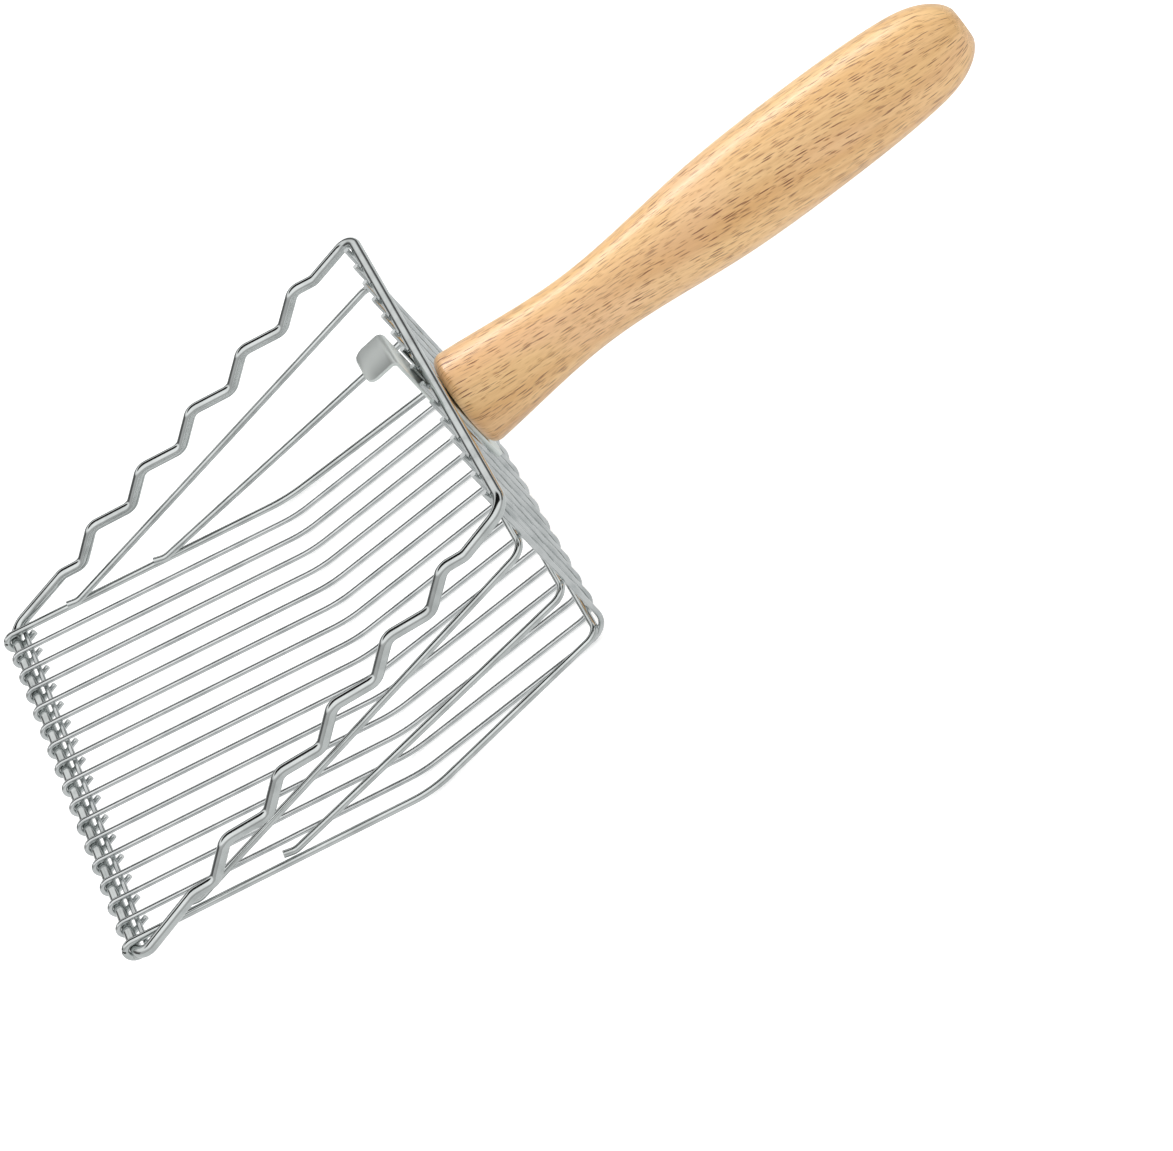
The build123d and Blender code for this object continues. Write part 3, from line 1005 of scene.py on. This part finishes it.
# ======== Floor and light ========
# A plain pale floor that fills the view, a soft box overhead and a pale room with one
# black flag. Chrome shows its room, and the wires gather the flag into thin dark lines.
# The varnish has a narrow soft box of its own.
def stage_floor():
    """A level sheet of paper just under the scoop. It glows a little by itself, and a
    little more where it is looked at directly, so that it stays white."""
    data = bpy.data.meshes.new("pale_floor")
    far, below = 6.0, 0.0002
    lift, lift_in_view = 0.3, 0.2
    z = cad_box[0].z - below
    data.from_pydata([(-far, -far, z), (far, -far, z), (far, far, z), (-far, far, z)],
                     [], [(0, 1, 2, 3)])
    floor = bpy.data.objects.new("pale_floor", data)
    scene.collection.objects.link(floor)
    paper = bpy.data.materials.new("pale_paper")
    paper.use_nodes = True
    nodes, links = paper.node_tree.nodes, paper.node_tree.links
    matt = nodes["Principled BSDF"]
    matt.inputs["Roughness"].default_value = 0.9
    matt.inputs["Specular IOR Level"].default_value = 0.1
    coords = nodes.new("ShaderNodeTexCoord")
    tooth = nodes.new("ShaderNodeTexNoise")
    tooth.inputs["Scale"].default_value = 3.0
    links.new(coords.outputs["Object"], tooth.inputs["Vector"])
    tone = nodes.new("ShaderNodeMix")
    tone.data_type = "RGBA"
    links.new(tooth.outputs["Fac"], tone.inputs["Factor"])
    tone.inputs["A"].default_value = (0.90, 0.90, 0.90, 1)
    tone.inputs["B"].default_value = (0.92, 0.92, 0.92, 1)
    links.new(tone.outputs["Result"], matt.inputs["Base Color"])
    links.new(tone.outputs["Result"], matt.inputs["Emission Color"])
    rays = nodes.new("ShaderNodeLightPath")
    glow = nodes.new("ShaderNodeMath")
    glow.operation = "MULTIPLY_ADD"
    links.new(rays.outputs["Is Camera Ray"], glow.inputs[0])
    glow.inputs[1].default_value = lift_in_view
    glow.inputs[2].default_value = lift
    links.new(glow.outputs[0], matt.inputs["Emission Strength"])
    # gloss rays see one even tone instead of the paper with its shadows
    dim = nodes.new("ShaderNodeEmission")
    dim.inputs["Color"].default_value = (0.80, 0.81, 0.81, 1)
    either = nodes.new("ShaderNodeMixShader")
    links.new(rays.outputs["Is Glossy Ray"], either.inputs[0])
    links.new(matt.outputs[0], either.inputs[1])
    links.new(dim.outputs[0], either.inputs[2])
    links.new(either.outputs[0], nodes["Material Output"].inputs["Surface"])
    data.materials.append(paper)


def soft_box(name, centre, aim, size, power):
    """A soft box, so wide and so high, aimed at a point. Returns the light."""
    data = bpy.data.lights.new(name, "AREA")
    data.shape, data.energy = "RECTANGLE", power
    data.size, data.size_y = size
    light = bpy.data.objects.new(name, data)
    light.location = centre
    light.rotation_mode = "QUATERNION"
    light.rotation_quaternion = (Vector(aim) - Vector(centre)).to_track_quat("-Z", "Y")
    scene.collection.objects.link(light)
    return light


def pale_room(brightness):
    """A pale room that lights the scoop and shows in its chrome. It has a black flag
    high up on the -Y side. Beyond the floor, the view shows one pale tone."""
    room = bpy.data.worlds.new("pale_room")
    room.use_nodes = True
    nodes, links = room.node_tree.nodes, room.node_tree.links

    def ramp(source, low, high, stops):
        """Tone against position between low and high."""
        spread = nodes.new("ShaderNodeMapRange")
        spread.inputs["From Min"].default_value = low
        spread.inputs["From Max"].default_value = high
        links.new(source, spread.inputs["Value"])
        tones = nodes.new("ShaderNodeValToRGB")
        while len(tones.color_ramp.elements) < len(stops):
            tones.color_ramp.elements.new(0.5)
        for element, (at, tone) in zip(tones.color_ramp.elements, stops):
            element.position, element.color = at, (tone, tone, tone, 1)
        links.new(spread.outputs[0], tones.inputs["Fac"])
        return tones.outputs["Color"]

    coords = nodes.new("ShaderNodeTexCoord")
    split = nodes.new("ShaderNodeSeparateXYZ")
    links.new(coords.outputs["Generated"], split.inputs[0])
    # by height, as the sine of the angle above the horizon
    left_side = ramp(split.outputs["Z"], -1, 1, (
        (0.0, 0.4), (0.5, 0.4), (0.70, 0.5), (0.78, 0.95), (1.0, 1.0)))
    right_side = ramp(split.outputs["Z"], -1, 1, (
        (0.0, 0.1), (0.66, 0.1), (0.73, 0.8), (0.82, 0.85), (0.86, 0.01), (0.99, 0.01)))
    blend = 0.05
    side = nodes.new("ShaderNodeMapRange")
    side.inputs["From Min"].default_value = -blend
    side.inputs["From Max"].default_value = blend
    links.new(split.outputs["Y"], side.inputs["Value"])
    walls = nodes.new("ShaderNodeMix")
    walls.data_type = "RGBA"
    links.new(side.outputs[0], walls.inputs["Factor"])
    links.new(right_side, walls.inputs["A"])
    links.new(left_side, walls.inputs["B"])
    background = nodes["Background"]
    background.inputs["Strength"].default_value = brightness
    links.new(walls.outputs["Result"], background.inputs["Color"])
    plain = nodes.new("ShaderNodeBackground")
    plain.inputs["Color"].default_value = (0.95, 0.95, 0.95, 1)
    either = nodes.new("ShaderNodeMixShader")
    links.new(nodes.new("ShaderNodeLightPath").outputs["Is Camera Ray"],
              either.inputs[0])
    links.new(background.outputs[0], either.inputs[1])
    links.new(plain.outputs[0], either.inputs[2])
    links.new(either.outputs[0], nodes["World Output"].inputs["Surface"])
    scene.world = room


stage_floor()
pale_room(brightness=1.25)
# the overhead box lights the scoop, and is hidden from gloss so as not to cover the flag
overhead = soft_box("overhead_soft_box", centre=(0.0, -0.9, 2.0), aim=(0, 0, 0),
                    size=(2.4, 2.4), power=27.0)
overhead.visible_glossy = False
# the narrow box gives the varnish its sheen, and lights nothing but the handle
sheen = soft_box("sheen_strip_box", centre=(0.1, -1.15, 1.3), aim=(-0.05, 0, 0.03),
                 size=(1.4, 0.3), power=13.0)
varnished = bpy.data.collections.new("lit_by_sheen_strip")
varnished.objects.link(handle)
sheen.light_linking.receiver_collection = varnished
scene.view_settings.view_transform = "Standard"
